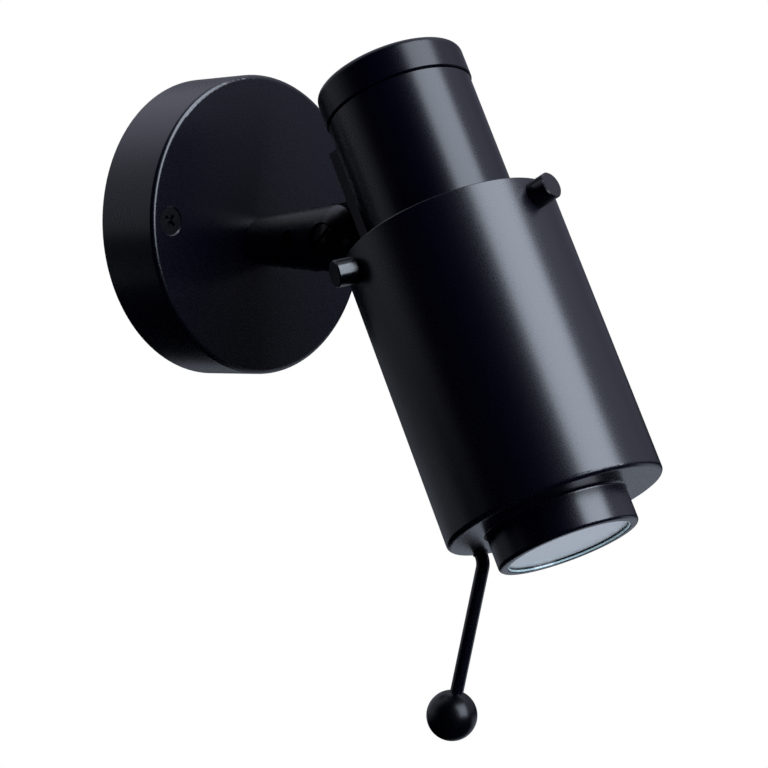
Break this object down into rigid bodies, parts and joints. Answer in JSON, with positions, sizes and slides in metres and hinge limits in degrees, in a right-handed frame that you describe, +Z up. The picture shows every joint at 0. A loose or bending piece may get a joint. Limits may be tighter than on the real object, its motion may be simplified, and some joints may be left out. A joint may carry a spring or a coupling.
{
  "type": "pivoting spotlight wall light",
  "caption": "Wall spotlight: round canopy, forked arm and a tilting tubular head in a wider cylindrical shade, with a recessed lens and a bent aiming rod ending in a ball.",
  "frame": {"origin": "centre of the canopy's open back, on the wall plane", "axes": "+Y into the wall, the light stands out towards -Y, +Z up, X level along the wall"},
  "size_m": [0.1, 0.1781, 0.2197],
  "materials": {
    "satin_black": "satin black paint, slightly blue",
    "gloss_black": "semi-gloss black paint",
    "zinc_steel": "zinc plated",
    "brass": "plain turned brass",
    "white_plastic": "moulded",
    "white_ceramic": "glazed ceramic look",
    "rubber": "matt",
    "lamp_metal": "bright reflector",
    "lamp_glass": "frosted lamp cover",
    "clear_glass": "clear, polished"
  },
  "bodies": {
    "root": {"wall_canopy": "satin_black", "canopy_screws": "gloss_black", "mounting_bracket": "zinc_steel", "bracket_nuts": "zinc_steel", "threaded_tube": "brass", "tube_washer": "zinc_steel", "tube_nut": "zinc_steel", "terminal_block": "white_plastic", "terminal_screws": "brass", "block_screw": "zinc_steel", "earth_screw": "zinc_steel", "earth_washer": "zinc_steel"},
    "arm": {"fork_arm": "satin_black", "arm_lock_screw": "gloss_black", "pivot_screw": "gloss_black", "pivot_nut": "zinc_steel", "pivot_washers": "zinc_steel"},
    "head": {"pivot_lug": "satin_black", "lug_screws": "zinc_steel", "mounting_bar": "satin_black", "inner_tube": "satin_black", "end_cap": "satin_black", "wire_bush": "rubber", "shade": "satin_black", "shade_pins": "gloss_black", "pin_posts": "zinc_steel", "holder_plate": "zinc_steel", "plate_screws": "zinc_steel", "lamp_holder": "white_ceramic", "holder_screws": "zinc_steel", "lamp_body": "lamp_metal", "lamp_pins": "brass", "lamp_cover": "lamp_glass", "lens_glass": "clear_glass", "lens_ring": "zinc_steel", "aim_rod": "satin_black", "aim_ball": "gloss_black"}
  },
  "joints": [
    {"name": "arm_turn", "type": "hinge", "parent": "root", "child": "arm", "pos_m": [0, -0.04, -0.0056], "axis": [0, 1, 0], "range_deg": [-90, 90]},
    {"name": "head_tilt", "type": "hinge", "parent": "arm", "child": "head", "pos_m": [0, -0.0606, -0.0056], "axis": [1, 0, 0], "range_deg": [-50, 30]}
  ]
}
